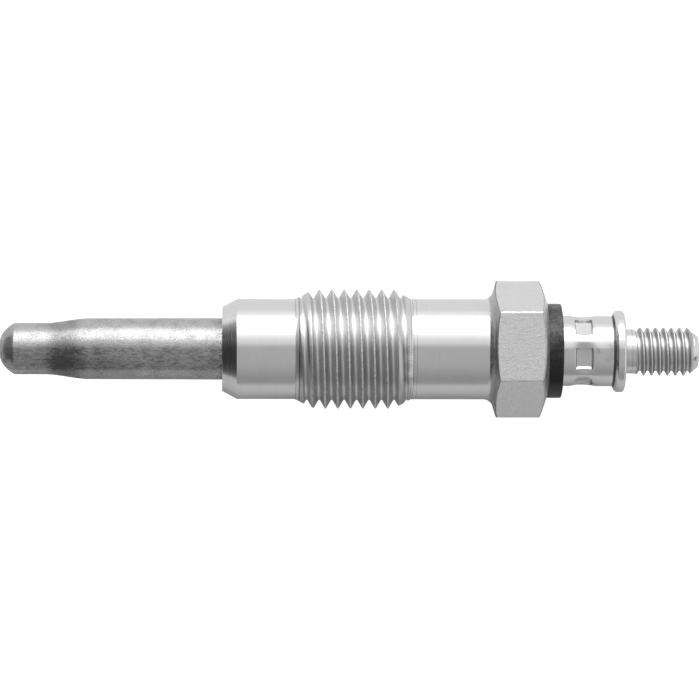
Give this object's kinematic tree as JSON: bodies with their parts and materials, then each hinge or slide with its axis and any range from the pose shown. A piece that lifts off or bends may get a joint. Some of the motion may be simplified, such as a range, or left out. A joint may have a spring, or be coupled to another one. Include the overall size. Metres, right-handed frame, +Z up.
{
  "type": "diesel glow plug",
  "caption": "Sheathed-element engine preheater: swaged heater tube in a threaded steel shell with hexagon, black insulator and crimped round nut on a threaded terminal.",
  "frame": {"origin": "on the plug's axis, in the front face of the housing, where the sealing cone starts", "axes": "+X along the axis from the hot tip to the terminal stud; +Z up through one hexagon flat, with the plug lying on the opposite one"},
  "size_m": [0.07, 0.0136, 0.012],
  "materials": {
    "plated_steel": "turned and bright zinc plated",
    "heater_alloy": "satin, streaked and a little stained",
    "coil_wire": "drawn wire",
    "magnesia": "packed powder",
    "seal_rubber": "moulded",
    "pin_steel": "bright plated, rolled thread",
    "washer_plastic": "moulded, satin",
    "nut_steel": "bright plated, crimped"
  },
  "bodies": {
    "root": {"housing": "plated_steel", "glow_tube": "heater_alloy", "heating_coil": "coil_wire", "regulating_coil": "coil_wire", "magnesia_filling": "magnesia", "magnesia_core": "magnesia", "tube_seal": "seal_rubber", "connecting_pin": "pin_steel", "housing_seal": "seal_rubber", "insulating_washer": "washer_plastic", "round_nut": "nut_steel"}
  },
  "joints": []
}
